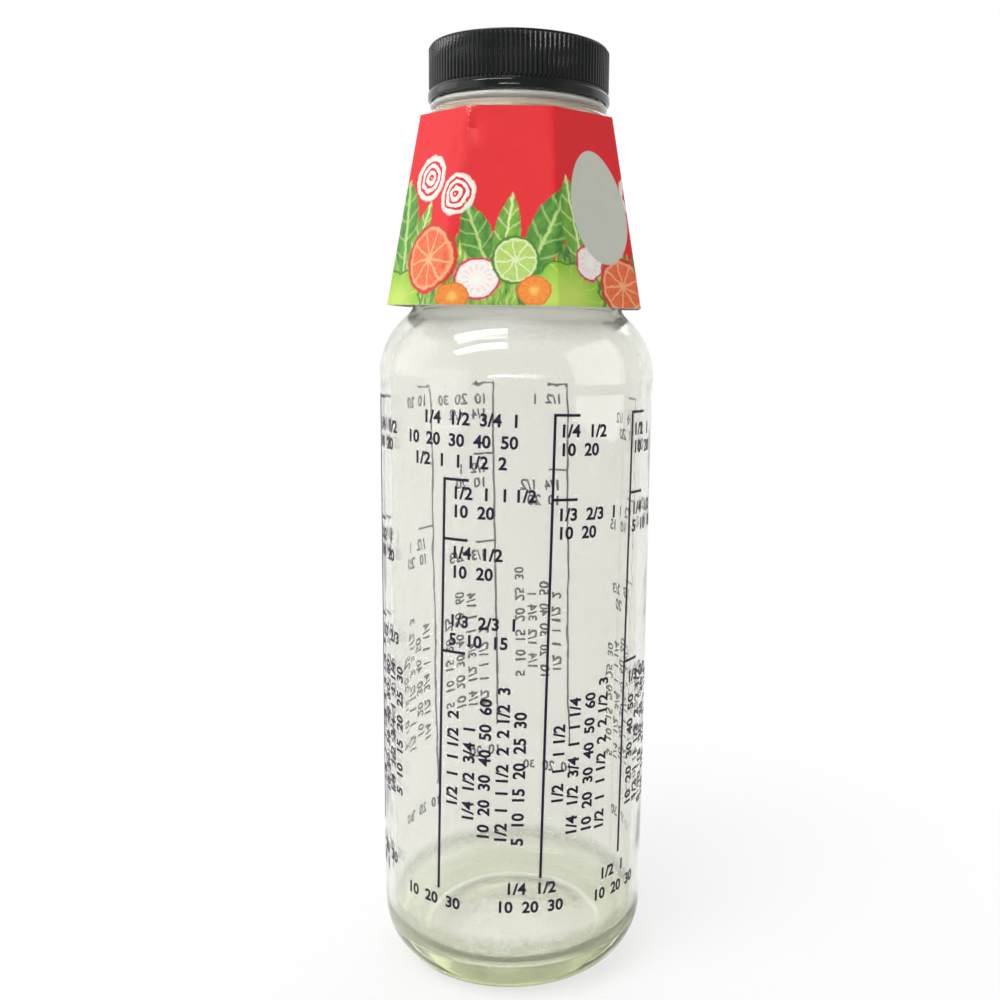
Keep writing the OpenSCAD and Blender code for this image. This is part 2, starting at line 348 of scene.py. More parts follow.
def canvas(tree, sheet):
    node = tree.nodes.new("ShaderNodeUVMap")
    node.uv_map = "printMap"
    spread = tree.nodes.new("ShaderNodeMapping")
    spread.inputs["Location"].default_value = (-sheet["seam"], 0, 0)
    spread.inputs["Scale"].default_value = (sheet["around"], sheet["high"], 1)
    tree.links.new(node.outputs[0], spread.inputs["Vector"])
    return spread.outputs[0]


def vectorSum(tree, operation, a, b):
    node = tree.nodes.new("ShaderNodeVectorMath")
    node.operation = operation
    for socket, value in zip(node.inputs, (a, b)):
        if isinstance(value, tuple):
            socket.default_value = value
        else:
            tree.links.new(value, socket)
    return node.outputs["Value"] if operation == "LENGTH" else node.outputs[0]


def apart(tree, vector):
    node = tree.nodes.new("ShaderNodeSeparateXYZ")
    tree.links.new(vector, node.inputs[0])
    return node.outputs[0], node.outputs[1], node.outputs[2]


def joined(tree, x, y):
    node = tree.nodes.new("ShaderNodeCombineXYZ")
    tree.links.new(x, node.inputs[0])
    tree.links.new(y, node.inputs[1])
    return node.outputs[0]


def laidAt(tree, point, x, y, turn, wide, high):
    # the motif's own coordinates, in which it reaches from -1 to 1
    node = tree.nodes.new("ShaderNodeMapping")
    node.vector_type = "TEXTURE"
    node.inputs["Location"].default_value = (x, y, 0)
    node.inputs["Rotation"].default_value = (0, 0, math.radians(turn))
    node.inputs["Scale"].default_value = (wide, high, 1)
    tree.links.new(point, node.inputs["Vector"])
    return node.outputs[0]


def polar(tree, local):
    x, y = apart(tree, local)[:2]
    return vectorSum(tree, "LENGTH", local, (0.0, 0.0, 0.0)), sum2(tree, "ARCTAN2", y, x)


def paintWheel(tree, base, point, spot, ink):
    # a citrus wheel: rind, pith, and segments with their skins
    x, y, r, turn = spot
    local = laidAt(tree, point, x, y, turn, r, r)
    out, angle = polar(tree, local)
    grain = noise(tree, local, 7, 3, 0.6)
    base = mixColour(tree, under(tree, out, 1.0, 0.5 / r * 0.3), base, ink["rind"])
    base = mixColour(tree, under(tree, out, 0.88, 0.03), base, ink["pith"])
    skins = sum2(tree, "ABSOLUTE", sum2(tree, "COSINE", sum2(tree, "MULTIPLY", angle, ink["parts"] / 2)))
    width = both(tree, skins, out)
    flesh = both(tree, over(tree, width, 0.13, 0.05), under(tree, out, 0.80, 0.04))
    tone = mixColour(tree, over(tree, grain, 0.5, 0.25), ink["flesh"], ink["juice"])
    return mixColour(tree, flesh, base, tone)


def paintLeaf(tree, base, point, spot, ink):
    x, y, long, wide, turn = spot
    local = laidAt(tree, point, x, y, turn, long / 2, wide / 2)
    along, across = apart(tree, local)[:2]
    off = sum2(tree, "ABSOLUTE", across)
    room = sum2(tree, "SUBTRACT", sum2(tree, "MULTIPLY_ADD", both(tree, along, along), -1.0, 1.0), off)
    shade = noise(tree, local, 2.2, 3, 0.6)
    tone = mixColour(tree, over(tree, shade, 0.5, 0.22), ink["dark"], ink["light"])
    ribs = sum2(tree, "SINE", sum2(tree, "MULTIPLY_ADD", off, -5.0, sum2(tree, "MULTIPLY", along, 17.0)))
    tone = mixColour(tree, both(tree, over(tree, ribs, 0.86, 0.14), 0.55), tone, ink["rib"])
    tone = mixColour(tree, under(tree, off, 0.09, 0.04), tone, ink["rib"])
    return mixColour(tree, over(tree, room, 0.0, 0.06), base, tone)


def paintFrill(tree, base, point, spot, ink):
    # a ruffled leaf that opens from its lower middle
    x, y, r, turn = spot
    local = laidAt(tree, point, x, y, turn, r, r * 0.8)
    out, angle = polar(tree, local)
    waves = sum2(tree, "MULTIPLY", sum2(tree, "SINE", sum2(tree, "MULTIPLY", angle, 9.0)), 0.05)
    rough = sum2(tree, "MULTIPLY", noise(tree, local, 5, 2), 0.22)
    edge = sum2(tree, "ADD", sum2(tree, "ADD", out, waves), rough)
    ribs = sum2(tree, "ABSOLUTE", sum2(tree, "SINE", sum2(tree, "MULTIPLY_ADD", rough, 9.0,
                                                          sum2(tree, "MULTIPLY", angle, 6.0))))
    tone = mixColour(tree, over(tree, out, 0.6, 0.4), ink["heart"], ink["light"])
    tone = mixColour(tree, both(tree, under(tree, ribs, 0.16, 0.1), 0.7), tone, ink["heart"])
    tone = mixColour(tree, over(tree, edge, 1.03, 0.03), tone, ink["dark"])
    return mixColour(tree, under(tree, edge, 1.1, 0.015), base, tone)


def paintSlice(tree, base, point, spot, ink):
    # a round slice with a thin skin, a pale face and faint rays or rings
    x, y, r, turn = spot
    local = laidAt(tree, point, x, y, turn, r, r * 0.92)
    out, angle = polar(tree, local)
    rays = sum2(tree, "SINE", sum2(tree, "MULTIPLY", angle, ink["rays"]))
    rings = sum2(tree, "SINE", sum2(tree, "MULTIPLY", out, ink["rings"]))
    marks = both(tree, over(tree, both(tree, rays, rings), 0.25, 0.3), under(tree, out, 0.82, 0.1))
    base = mixColour(tree, under(tree, out, 1.0, 0.03), base, ink["skin"])
    face = mixColour(tree, both(tree, marks, 0.7), ink["face"], ink["mark"])
    face = mixColour(tree, under(tree, out, 0.3, 0.15), face, ink["heart"])
    return mixColour(tree, under(tree, out, ink["rim"], 0.04), base, face)


def paintBands(tree, base, point, spot, ink):
    # cut onion: open rings, with the ground showing between them
    x, y, r, turn = spot
    local = laidAt(tree, point, x, y, turn, r, r * 0.9)
    out, angle = polar(tree, local)
    wobble = sum2(tree, "MULTIPLY_ADD", noise(tree, local, 2.0, 1), 0.12, out)
    rings = sum2(tree, "SINE", sum2(tree, "MULTIPLY_ADD", wobble, ink["rings"], 1.2))
    ring = both(tree, over(tree, rings, -0.25, 0.25), under(tree, out, 0.96, 0.03))
    skin = both(tree, over(tree, out, 0.86, 0.02), under(tree, out, 1.0, 0.03))
    base = mixColour(tree, ring, base, ink["face"])
    return mixColour(tree, skin, base, ink["skin"])


inks = {
    "field": ((0.79, 0.011, 0.018), (0.68, 0.007, 0.012)),
    "grass": ((0.045, 0.21, 0.035), (0.30, 0.52, 0.06), (0.70, 0.76, 0.34)),
    "blood": {"rind": (0.62, 0.028, 0.016), "pith": (0.86, 0.42, 0.20), "flesh": (0.74, 0.070, 0.030),
              "juice": (0.84, 0.22, 0.060), "parts": 9},
    "lime": {"rind": (0.05, 0.23, 0.02), "pith": (0.70, 0.80, 0.42), "flesh": (0.34, 0.55, 0.08),
             "juice": (0.52, 0.70, 0.20), "parts": 8},
    "leaf": {"dark": (0.020, 0.14, 0.022), "light": (0.13, 0.40, 0.040), "rib": (0.46, 0.64, 0.20)},
    "sprig": {"dark": (0.05, 0.26, 0.03), "light": (0.26, 0.52, 0.04), "rib": (0.68, 0.78, 0.36)},
    "frill": {"dark": (0.035, 0.20, 0.02), "light": (0.22, 0.50, 0.022), "heart": (0.52, 0.70, 0.12)},
    "radish": {"skin": (0.66, 0.018, 0.10), "face": (0.88, 0.84, 0.78), "mark": (0.82, 0.62, 0.62),
               "heart": (0.90, 0.88, 0.80), "rim": 0.88, "rays": 14, "rings": 9},
    "carrot": {"skin": (0.72, 0.14, 0.012), "face": (0.84, 0.27, 0.03), "mark": (0.76, 0.18, 0.02),
               "heart": (0.90, 0.50, 0.10), "rim": 0.90, "rays": 10, "rings": 6},
    "onion": {"skin": (0.80, 0.74, 0.66), "face": (0.87, 0.86, 0.80), "rings": 21},
    "badge": ((0.60, 0.61, 0.53), (0.53, 0.54, 0.47)),
}

# What is printed, from back to front, each at its place across and up
motifs = [
    (paintLeaf, "leaf", (-31, 17, 22, 9, 100)),
    (paintLeaf, "sprig", (-25.5, 13, 20, 6, 74)),
    (paintLeaf, "leaf", (-9, 14, 17, 7, 112)),
    (paintLeaf, "sprig", (-2.5, 15, 18, 6, 82)),
    (paintLeaf, "leaf", (6.5, 16, 22, 8, 64)),
    (paintLeaf, "sprig", (13, 17, 22, 7, 100)),
    (paintLeaf, "leaf", (21, 12, 20, 8, 70)),
    (paintLeaf, "leaf", (36, 14, 24, 9, 108)),
    (paintLeaf, "sprig", (44, 13, 20, 7, 76)),
    (paintBands, "onion", (-24.5, 27.5, 5.6, 0)),
    (paintBands, "onion", (-14.5, 23.5, 4.8, 40)),
    (paintBands, "onion", (33, 25, 5.2, 80)),
    (paintFrill, "frill", (10, 2.0, 9.5, 0)),
    (paintFrill, "frill", (-30, 1.0, 8.5, 0)),
    (paintFrill, "frill", (40, 2.0, 9.0, 0)),
    (paintWheel, "blood", (-20.5, 10.0, 7.6, 12)),
    (paintSlice, "radish", (-8.6, 5.6, 4.9, 0)),
    (paintWheel, "lime", (-0.6, 9.6, 5.2, 30)),
    (paintSlice, "carrot", (3.2, 3.2, 3.4, 20)),
    (paintSlice, "radish", (16.5, 9.6, 4.2, 60)),
    (paintWheel, "blood", (25.5, 4.6, 6.4, 40)),
    (paintSlice, "carrot", (-13.4, 1.8, 3.2, 0)),
    (paintWheel, "lime", (34.5, 9.5, 5.4, 0)),
    (paintSlice, "radish", (46.5, 6.0, 5.0, 30)),
]


def printedMaterial(sheet):
    material, tree, shader, output = newMaterial("printedBoard")
    point = canvas(tree, sheet)
    stir = tree.nodes.new("ShaderNodeTexNoise")
    stir.inputs["Scale"].default_value = 0.55
    tree.links.new(point, stir.inputs["Vector"])
    sway = vectorSum(tree, "SUBTRACT", stir.outputs["Color"], (0.5, 0.5, 0.5))
    point = vectorSum(tree, "ADD", point, vectorSum(tree, "MULTIPLY", sway, (1.2, 1.2, 0.0)))
    x, y = apart(tree, point)[:2]
    cloud = noise(tree, point, 0.12, 2)
    ground = mixColour(tree, cloud, *inks["field"])
    # the leafy band along the bottom: strokes under an uneven upper edge
    tall = laidAt(tree, point, 0, 0, 0, 1, 5)
    strokes = noise(tree, tall, 1.1, 3, 0.6)
    fringe = sum2(tree, "MULTIPLY_ADD", noise(tree, tall, 0.32, 2, 0.7), 22.0, 1.5)
    leafy = over(tree, sum2(tree, "SUBTRACT", fringe, y), 0.0, 0.12)
    green = mixColour(tree, over(tree, strokes, 0.47, 0.10), inks["grass"][0], inks["grass"][1])
    green = mixColour(tree, over(tree, strokes, 0.64, 0.06), green, inks["grass"][2])
    ground = mixColour(tree, leafy, ground, green)
    # the motifs come round twice
    half = sheet["around"] / 2
    back = sum2(tree, "ADD", sum2(tree, "FLOORED_MODULO", sum2(tree, "ADD", x, half * 0.4), half), -half * 0.4)
    twice = joined(tree, back, y)
    for paint, ink, spot in motifs:
        ground = paint(tree, ground, twice, spot, inks[ink])
    badge = laidAt(tree, canvas(tree, sheet), *sheet["badge"])
    edge = vectorSum(tree, "LENGTH", badge, (0.0, 0.0, 0.0))
    pale = mixColour(tree, noise(tree, point, 0.25, 2), *inks["badge"])
    ground = mixColour(tree, under(tree, edge, 1.0, 0.012), ground, pale)
    # worn ink: pale flecks on the creases and along the cut edges
    worn = tree.nodes.new("ShaderNodeAttribute")
    worn.attribute_name = "wear"
    flecks = noise(tree, point, 2.6, 4, 0.7)
    bare = over(tree, sum2(tree, "ADD", flecks, sum2(tree, "MULTIPLY", worn.outputs["Fac"], 0.36)), 0.86, 0.05)
    ground = mixColour(tree, both(tree, bare, 0.85), ground, (0.86, 0.80, 0.76))
    dots = noise(tree, point, 9.0, 2)
    ground = mixColour(tree, both(tree, over(tree, dots, 0.62, 0.12), 0.10), ground, (0.9, 0.5, 0.5))
    tree.links.new(ground, shader.inputs["Base Color"])
    fibre = noise(tree, objectPoint(tree), 1100, 3)
    tree.links.new(sum2(tree, "MULTIPLY_ADD", fibre, 0.16, 0.40), shader.inputs["Roughness"])
    shader.inputs["Specular IOR Level"].default_value = 0.36
    bump(tree, shader, fibre, 0.12, 0.00006)
    return material


glass = glassMaterial()
capPlastic = capMaterial()
enamel = enamelMaterial()
plainBoard = boardMaterial()
print("materials ready")

# The glass bottle, as in the frame: its outline runs from the middle of the base up and back down
bottle = {
    "wallR": 0.0319, "wallTop": 0.1388, "rollH": 0.0029, "rollOut": 0.0002,
    "heelW": 0.0097, "heelH": 0.0133, "pushUp": 0.0032, "floor": 0.0074,
    "shoulderR": 0.0182, "shoulderDegrees": 50,
    "footR": 0.0236, "footZ": 0.165, "hangR": 0.0208, "hangZ": 0.1992,
    "beadR": 0.0201, "beadTop": 0.2028, "finishR": 0.0175, "mouthR": 0.0155, "lip": 0.213,
    "wall": 0.0024, "corner": 0.0062,
    "thread": {"out": 0.0012, "start": 0.206, "pitch": 0.004233, "turns": 1.25},
    "steps": 160, "ringZ": 0.0134,
    # small bubbles in the thick glass of the heel: degrees, radius, height, size, in millimetres
    "bubbles": [(15, 28.2, 4.0, 0.36), (18.5, 29.2, 5.6, 0.26), (22, 28.0, 3.6, 0.40), (25, 29.0, 4.8, 0.24),
                (12, 27.4, 3.0, 0.28), (29, 28.6, 4.6, 0.22), (-48, 28.6, 4.6, 0.28), (118, 28.2, 4.2, 0.34),
                (201, 28.8, 4.8, 0.26), (255, 28.0, 3.8, 0.34)],
}


def outsideOutline(b):
    ringR = b["wallR"] - b["heelW"]
    rollR = b["wallR"] + b["rollOut"]
    rollZ = b["wallTop"] + b["rollH"]
    shoulderX = rollR - b["shoulderR"]
    shoulder = arc(shoulderX, rollZ, b["shoulderR"], b["shoulderR"], 0, b["shoulderDegrees"], 18)
    a = math.radians(b["shoulderDegrees"])
    last = shoulder[-1]
    slope = (b["hangR"] - b["footR"]) / (b["hangZ"] - b["footZ"])
    points = curve((0, b["pushUp"]), (ringR * 0.5, b["pushUp"]), (ringR * 0.72, 0.0003), (ringR - 0.0016, 0), 12)
    points += arc(ringR, b["heelH"], b["heelW"], b["heelH"], -90, 0, 20)
    points += [(b["wallR"], b["heelH"] + (b["wallTop"] - b["heelH"]) * i / 12) for i in range(1, 12)]
    points += curve((b["wallR"], b["wallTop"]), (b["wallR"], b["wallTop"] + 0.0012), (rollR, rollZ - 0.0012),
                    (rollR, rollZ), 8)
    points += shoulder[1:]
    points += curve(last, (last[0] - 0.003 * math.sin(a), last[1] + 0.003 * math.cos(a)),
                    (b["footR"] - slope * 0.005, b["footZ"] - 0.005), (b["footR"], b["footZ"]), 10)[1:]
    points += [(b["hangR"] + slope * (z - b["hangZ"]), z) for z in (0.173, 0.181, 0.190, b["hangZ"])]
    points += curve((b["hangR"], b["hangZ"]), (b["hangR"] - 0.0001, b["hangZ"] + 0.0012),
                    (b["beadR"] - 0.0005, b["hangZ"] + 0.0015), (b["beadR"] - 0.0006, b["beadTop"] - 0.00155), 7)[1:]
    points += arc(b["beadR"] - 0.0006, b["beadTop"] - 0.0007, 0.0006, 0.0007, -70, 90, 9)
    points += [(b["finishR"] + 0.0003, b["beadTop"]), (b["finishR"], b["beadTop"] + 0.0003)]
    points += [(b["finishR"], b["beadTop"] + 0.005), (b["finishR"], b["lip"] - 0.0005)]
    points += arc(b["finishR"] - 0.0005, b["lip"] - 0.0005, 0.0005, 0.0005, 0, 90, 6)[1:]
    return points


def insideOutline(b):
    insideR = b["wallR"] - b["wall"]
    rollZ = b["wallTop"] + b["rollH"]
    shoulderX = b["wallR"] + b["rollOut"] - b["shoulderR"]
    innerR = b["shoulderR"] - b["wall"]
    shoulder = arc(shoulderX, rollZ, innerR, innerR, b["shoulderDegrees"], 0, 18)
    a = math.radians(b["shoulderDegrees"])
    first = shoulder[0]
    slope = (b["hangR"] - b["footR"]) / (b["hangZ"] - b["footZ"])
    footR = b["footR"] - b["wall"]
    points = arc(b["mouthR"] + 0.0005, b["lip"] - 0.0005, 0.0005, 0.0005, 90, 180, 6)
    points += curve((b["mouthR"], b["beadTop"] + 0.001), (b["mouthR"], b["beadTop"] - 0.002),
                    (b["hangR"] - b["wall"] - 0.0006, b["hangZ"] + 0.001),
                    (b["hangR"] - b["wall"], b["hangZ"] - 0.004), 10)
    points += [(footR + slope * (z - b["footZ"]), z) for z in (0.187, 0.180, 0.172)]
    points += curve((footR, b["footZ"]), (footR - slope * 0.005, b["footZ"] - 0.005),
                    (first[0] - 0.003 * math.sin(a), first[1] + 0.003 * math.cos(a)), first, 10)
    points += shoulder[1:]
    points += curve(shoulder[-1], (insideR + b["rollOut"], rollZ - 0.0012), (insideR, b["wallTop"] + 0.0012),
                    (insideR, b["wallTop"]), 8)[1:]
    cornerTop = b["floor"] + b["corner"] + 0.003
    points += [(insideR, b["wallTop"] - (b["wallTop"] - cornerTop) * i / 12) for i in range(1, 13)]
    points += arc(insideR - b["corner"], b["floor"] + b["corner"], b["corner"], b["corner"], 0, -90, 14)
    points += curve((insideR - b["corner"], b["floor"]), (insideR - b["corner"] - 0.006, b["floor"]),
                    (0.008, b["floor"] + 0.0016), (0, b["floor"] + 0.0016), 10)[1:]
    return points


def threadRidge(name, rootR, tipR, start, pitch, turns):
    # a trapezoid wound up the axis by the Screw modifier
    reach = 0.0003 if tipR > rootR else -0.0003
    corners = [(rootR - reach, -0.00115), (tipR, -0.00055), (tipR, 0.00055), (rootR - reach, 0.00115)]
    obj = traceOutline(name, [(r, start + z) for r, z in corners])
    makeActive(obj)
    bpy.ops.object.mode_set(mode="EDIT")
    bpy.ops.mesh.select_all(action="SELECT")
    bpy.ops.mesh.edge_face_add()
    bpy.ops.object.mode_set(mode="OBJECT")
    screw = obj.modifiers.new("wind", "SCREW")
    screw.axis = "Z"
    screw.angle = 2 * math.pi * turns
    screw.screw_offset = pitch * turns
    screw.steps = round(60 * turns)
    screw.render_steps = screw.steps
    screw.use_merge_vertices = True
    applyModifiers(obj)
    bpy.ops.object.mode_set(mode="EDIT")
    bpy.ops.mesh.select_all(action="SELECT")
    bpy.ops.mesh.normals_make_consistent(inside=False)
    bpy.ops.object.mode_set(mode="OBJECT")
    return obj


def addBubbles(obj, spots):
    deselectAll()
    balls = []
    for degrees, r, z, size in spots:
        a = math.radians(degrees)
        place = (r / 1000 * math.sin(a), -r / 1000 * math.cos(a), z / 1000)
        bpy.ops.mesh.primitive_ico_sphere_add(subdivisions=3, radius=size / 1000, location=place)
        ball = bpy.context.object
        bpy.ops.object.transform_apply(location=True)
        bpy.ops.object.mode_set(mode="EDIT")
        bpy.ops.mesh.select_all(action="SELECT")
        bpy.ops.mesh.flip_normals()
        bpy.ops.object.mode_set(mode="OBJECT")
        balls.append(ball)
    deselectAll()
    for ball in balls:
        ball.select_set(True)
    obj.select_set(True)
    bpy.context.view_layer.objects.active = obj
    bpy.ops.object.join()


def makeBottle():
    obj = traceOutline("glassBottle", outsideOutline(bottle) + insideOutline(bottle))
    spinRound(obj, bottle["steps"])
    t = bottle["thread"]
    ridge = threadRidge("glassThread", bottle["finishR"], bottle["finishR"] + t["out"], t["start"], t["pitch"],
                        t["turns"])
    join = obj.modifiers.new("addThread", "BOOLEAN")
    join.operation = "UNION"
    join.solver = "EXACT"
    join.object = ridge
    applyModifiers(obj)
    bpy.data.objects.remove(ridge)
    addBubbles(obj, bottle["bubbles"])
    # the corner round the inside of the floor is uneven and a little milky, and its darker colour there is painted
    # shade
    unevenShadedRing = obj.data.attributes.new("unevenShadedRing", "FLOAT", "POINT")
    insideR = bottle["wallR"] - bottle["wall"]
    for v in obj.data.vertices:
        out = math.hypot(v.co.x, v.co.y)
        if insideR - 0.004 < out < insideR + 0.0001:
            unevenShadedRing.data[v.index].value = max(0, 1 - abs(v.co.z - bottle["ringZ"]) / 0.0032)
    smooth(obj, 40)
    give(obj, glass)
    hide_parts("glass_bottle")
    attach(obj, "bottle")
    return obj


makeBottle()
print("bottle made")

# The cap: rings of edges drawn from the ceiling down the inside, under the rim and up the ribs
def makeCap():
    rootR = cap["ribR"] - cap["ribDepth"]
    low, top = cap["low"], cap["top"]
    ribLow = low + cap["rimH"] + 0.0005
    ribHigh = top - cap["edge"] + 0.0001
    levels = [(cap["bore"] - 0.0003, cap["ceiling"]), (cap["bore"], cap["ceiling"] - 0.0003), (cap["bore"], low + 0.0004),
              (cap["bore"] + 0.0004, low)]
    levels += arc(cap["rimR"] - 0.0006, low + 0.0006, 0.0006, 0.0006, -90, 0, 5)
    levels += arc(cap["rimR"] - 0.0006, low + cap["rimH"] - 0.0006, 0.0006, 0.0006, 0, 80, 5)
    levels += [(rootR - 0.0001, low + cap["rimH"]), (rootR - 0.0001, ribLow), (rootR, ribLow + 0.00035)]
    levels += [(rootR, ribHigh - 0.0004), (rootR, ribHigh)]
    levels += arc(rootR + 0.0001 - cap["edge"], top - cap["edge"] + 0.0002, cap["edge"], cap["edge"] - 0.0002, 8, 90, 6)
    levels += [(rootR - 0.0022, top), (rootR - 0.0025, top - 0.00025), (0.001, top - 0.00025)]
    deselectAll()
    bpy.ops.mesh.primitive_circle_add(vertices=cap["ribs"] * 4, radius=0.001, location=(0, 0, cap["ceiling"]))
    obj = bpy.context.object
    obj.name = "screwCap"
    bpy.ops.object.transform_apply(location=True)
    bpy.ops.object.mode_set(mode="EDIT")
    bpy.ops.mesh.select_all(action="SELECT")
    last = (0.001, cap["ceiling"])
    for r, z in levels:
        bpy.ops.mesh.extrude_edges_move(TRANSFORM_OT_translate={"value": (0, 0, z - last[1])})
        bpy.ops.transform.resize(value=(r / last[0], r / last[0], 1), center_override=(0, 0, 0))
        last = (r, z)
    bpy.ops.mesh.merge(type="CENTER")
    bpy.ops.mesh.select_all(action="DESELECT")
    bpy.ops.object.mode_set(mode="OBJECT")
    # every rib is four columns of vertices, and its two middle ones stand out
    pitch = 2 * math.pi / cap["ribs"]
    for v in obj.data.vertices:
        away = math.hypot(v.co.x, v.co.y)
        phase = (math.atan2(v.co.y, v.co.x) / pitch) % 1.0
        inBand = ribLow + 0.0002 < v.co.z < ribHigh - 0.0002
        v.select = inBand and abs(away - rootR) < 0.00005 and 0.2 < phase < 0.55
    bpy.ops.object.mode_set(mode="EDIT")
    out = cap["ribR"] / rootR
    bpy.ops.transform.resize(value=(out, out, 1), center_override=(0, 0, 0))
    bpy.ops.mesh.select_all(action="SELECT")
    bpy.ops.mesh.remove_doubles(threshold=0.000002)
    bpy.ops.mesh.normals_make_consistent(inside=False)
    bpy.ops.object.mode_set(mode="OBJECT")
    t = cap["thread"]
    ridge = threadRidge("capThread", cap["bore"], t["tip"], t["start"], t["pitch"], t["turns"])
    deselectAll()
    ridge.select_set(True)
    obj.select_set(True)
    bpy.context.view_layer.objects.active = obj
    bpy.ops.object.join()
    smooth(obj, 50)
    give(obj, capPlastic)
    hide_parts("screw_cap")
    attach(obj, "cap")
    return obj


makeCap()
give(nodes["cap_liner"], linerMaterial())
print("cap made")

# The paper sleeve: eight flat panels between folded creases, in millimetres and degrees
sleeve = {
    "low": 157.7, "top": 199.2, "lowR": 31.2, "topR": 23.0, "board": 0.4, "fold": 0.35, "cuts": 17,
    "firstCrease": -26.6, "panel": 45, "lean": [-7.4, -2.6, -2, -1, 0, 0, -1, 2.4],
    "around": 172.8, "high": 42.3, "seam": 99.2, "seamAt": 153.4, "badge": (21.0, 21.6, 7, 8.4, 12.3),
}
sleeve["topR"] = (20.8 + 0.05 + sleeve["board"]) / math.cos(math.radians(22.5))


def frontPoint(r, degrees, z):
    # millimetres and degrees from the front, towards +X
    a = math.radians(degrees)
    return Vector((r * math.sin(a), -r * math.cos(a), z)) / 1000


def degreesOf(co):
    return math.degrees(math.atan2(co.x, -co.y))


def creaseGap(co):
    # millimetres from a point of the sleeve to the nearest crease
    f = (sleeve["top"] / 1000 - co.z) / ((sleeve["top"] - sleeve["low"]) / 1000)
    here = degreesOf(co)
    nearest = 99
    for i, lean in enumerate(sleeve["lean"]):
        crease = sleeve["firstCrease"] + i * sleeve["panel"] + lean * f
        gap = (here - crease + 180) % 360 - 180
        nearest = min(nearest, abs(gap))
    return nearest * math.pi / 180 * math.hypot(co.x, co.y) * 1000


def makeSleeve():
    g = sleeve
    deselectAll()
    bpy.ops.mesh.primitive_cylinder_add(vertices=8, radius=g["topR"] / 1000, depth=(g["top"] - g["low"]) / 1000,
                                        end_fill_type="NOTHING", location=(0, 0, (g["top"] + g["low"]) / 2000),
                                        rotation=(0, 0, math.radians(g["firstCrease"] + 45)))
    obj = bpy.context.object
    obj.name = "paperSleeve"
    bpy.ops.object.transform_apply(location=True, rotation=True)
    bpy.ops.object.mode_set(mode="EDIT")
    bpy.ops.mesh.select_all(action="DESELECT")
    bpy.ops.object.mode_set(mode="OBJECT")
    # each lower corner goes out to its radius and round by its crease's lean
    for i, lean in enumerate(g["lean"]):
        upper = g["firstCrease"] + i * g["panel"]
        old = frontPoint(g["topR"], upper, g["low"])
        new = frontPoint(g["lowR"], upper + lean, g["low"])
        for v in obj.data.vertices:
            v.select = (v.co - old).length < 0.0002
        bpy.ops.object.mode_set(mode="EDIT")
        bpy.ops.transform.translate(value=new - old)
        bpy.ops.mesh.select_all(action="DESELECT")
        bpy.ops.object.mode_set(mode="OBJECT")
    for edge in obj.data.edges:
        a, b = (obj.data.vertices[k].co.z for k in edge.vertices)
        edge.select = abs(a - b) > 0.01
    bpy.ops.object.mode_set(mode="EDIT")
    bpy.ops.mesh.select_mode(type="EDGE")
    bpy.ops.mesh.bevel(offset=g["fold"] / 1000, segments=2, affect="EDGES")
    bpy.ops.mesh.select_all(action="SELECT")
    bpy.ops.mesh.subdivide(number_cuts=g["cuts"])
    bpy.ops.mesh.select_mode(type="VERT")
    bpy.ops.mesh.select_all(action="DESELECT")
    bpy.ops.object.mode_set(mode="OBJECT")
    # the crease at the front left is crushed at its top
    crushes = [(frontPoint(22.8, -25.5, 195.4), (0.0004, 0.0009, -0.0001), 0.0026),
               (frontPoint(24.2, -31.5, 189.4), (0.0002, 0.0005, 0), 0.0034),
               (frontPoint(22.9, 19.0, 196.4), (-0.0001, 0.0003, 0), 0.0020)]
    for spot, push, reach in crushes:
        near = min(obj.data.vertices, key=lambda v: (v.co - spot).length)
        near.select = True
        bpy.ops.object.mode_set(mode="EDIT")
        bpy.ops.transform.translate(value=push, use_proportional_edit=True, proportional_size=reach,
                                    proportional_edit_falloff="SMOOTH")
        bpy.ops.mesh.select_all(action="DESELECT")
        bpy.ops.object.mode_set(mode="OBJECT")
    mesh = obj.data
    wear = mesh.attributes.new("wear", "FLOAT", "POINT")
    for v in mesh.vertices:
        f = (v.co.z * 1000 - g["low"]) / (g["top"] - g["low"])
        gap = creaseGap(v.co)
        left = 1.0 if -45 < degreesOf(v.co) < -5 else 0.55
        onCrease = max(0, 1 - gap / 1.1) * (0.3 + 0.7 * f ** 6) * left
        atTop = max(0, 1 - (1 - f) * 42 / 1.4) * max(0.25, 1 - gap / 6) * left
        atFoot = max(0, 1 - f * 42 / 0.6) * 0.4
        wear.data[v.index].value = max(onCrease, atTop, atFoot)
    printMap = mesh.uv_layers.new(name="printMap")
    for face in mesh.polygons:
        middle = (degreesOf(face.center) - g["seamAt"]) % 360
        for k in face.loop_indices:
            co = mesh.vertices[mesh.loops[k].vertex_index].co
            turn = (degreesOf(co) - g["seamAt"]) % 360
            turn += 360 * round((middle - turn) / 360)
            printMap.data[k].uv = (turn / 360, (co.z * 1000 - g["low"]) / (g["top"] - g["low"]))
    give(obj, printedMaterial(g))
    obj.data.materials.append(plainBoard)
    obj.data.materials.append(plainBoard)
    board = obj.modifiers.new("thickness", "SOLIDIFY")
    board.thickness = g["board"] / 1000
    board.offset = -1
    board.use_even_offset = True
    board.material_offset = 1
    board.material_offset_rim = 2
    applyModifiers(obj)
    smooth(obj, 28)
    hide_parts("paper_sleeve")
    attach(obj, "sleeve")
    return obj


makeSleeve()
give(nodes["sleeve_glue_flap"], plainBoard)
print("sleeve made")

# The numerals beside the scales, drawn flat and then wrapped round the wall
printing = {"wallR": 31.9, "up": 0.05, "sink": 0.01, "size": 3.75, "narrow": 1.12, "wide": 2.0, "bold": 0.03,
            "lean": 1.2}

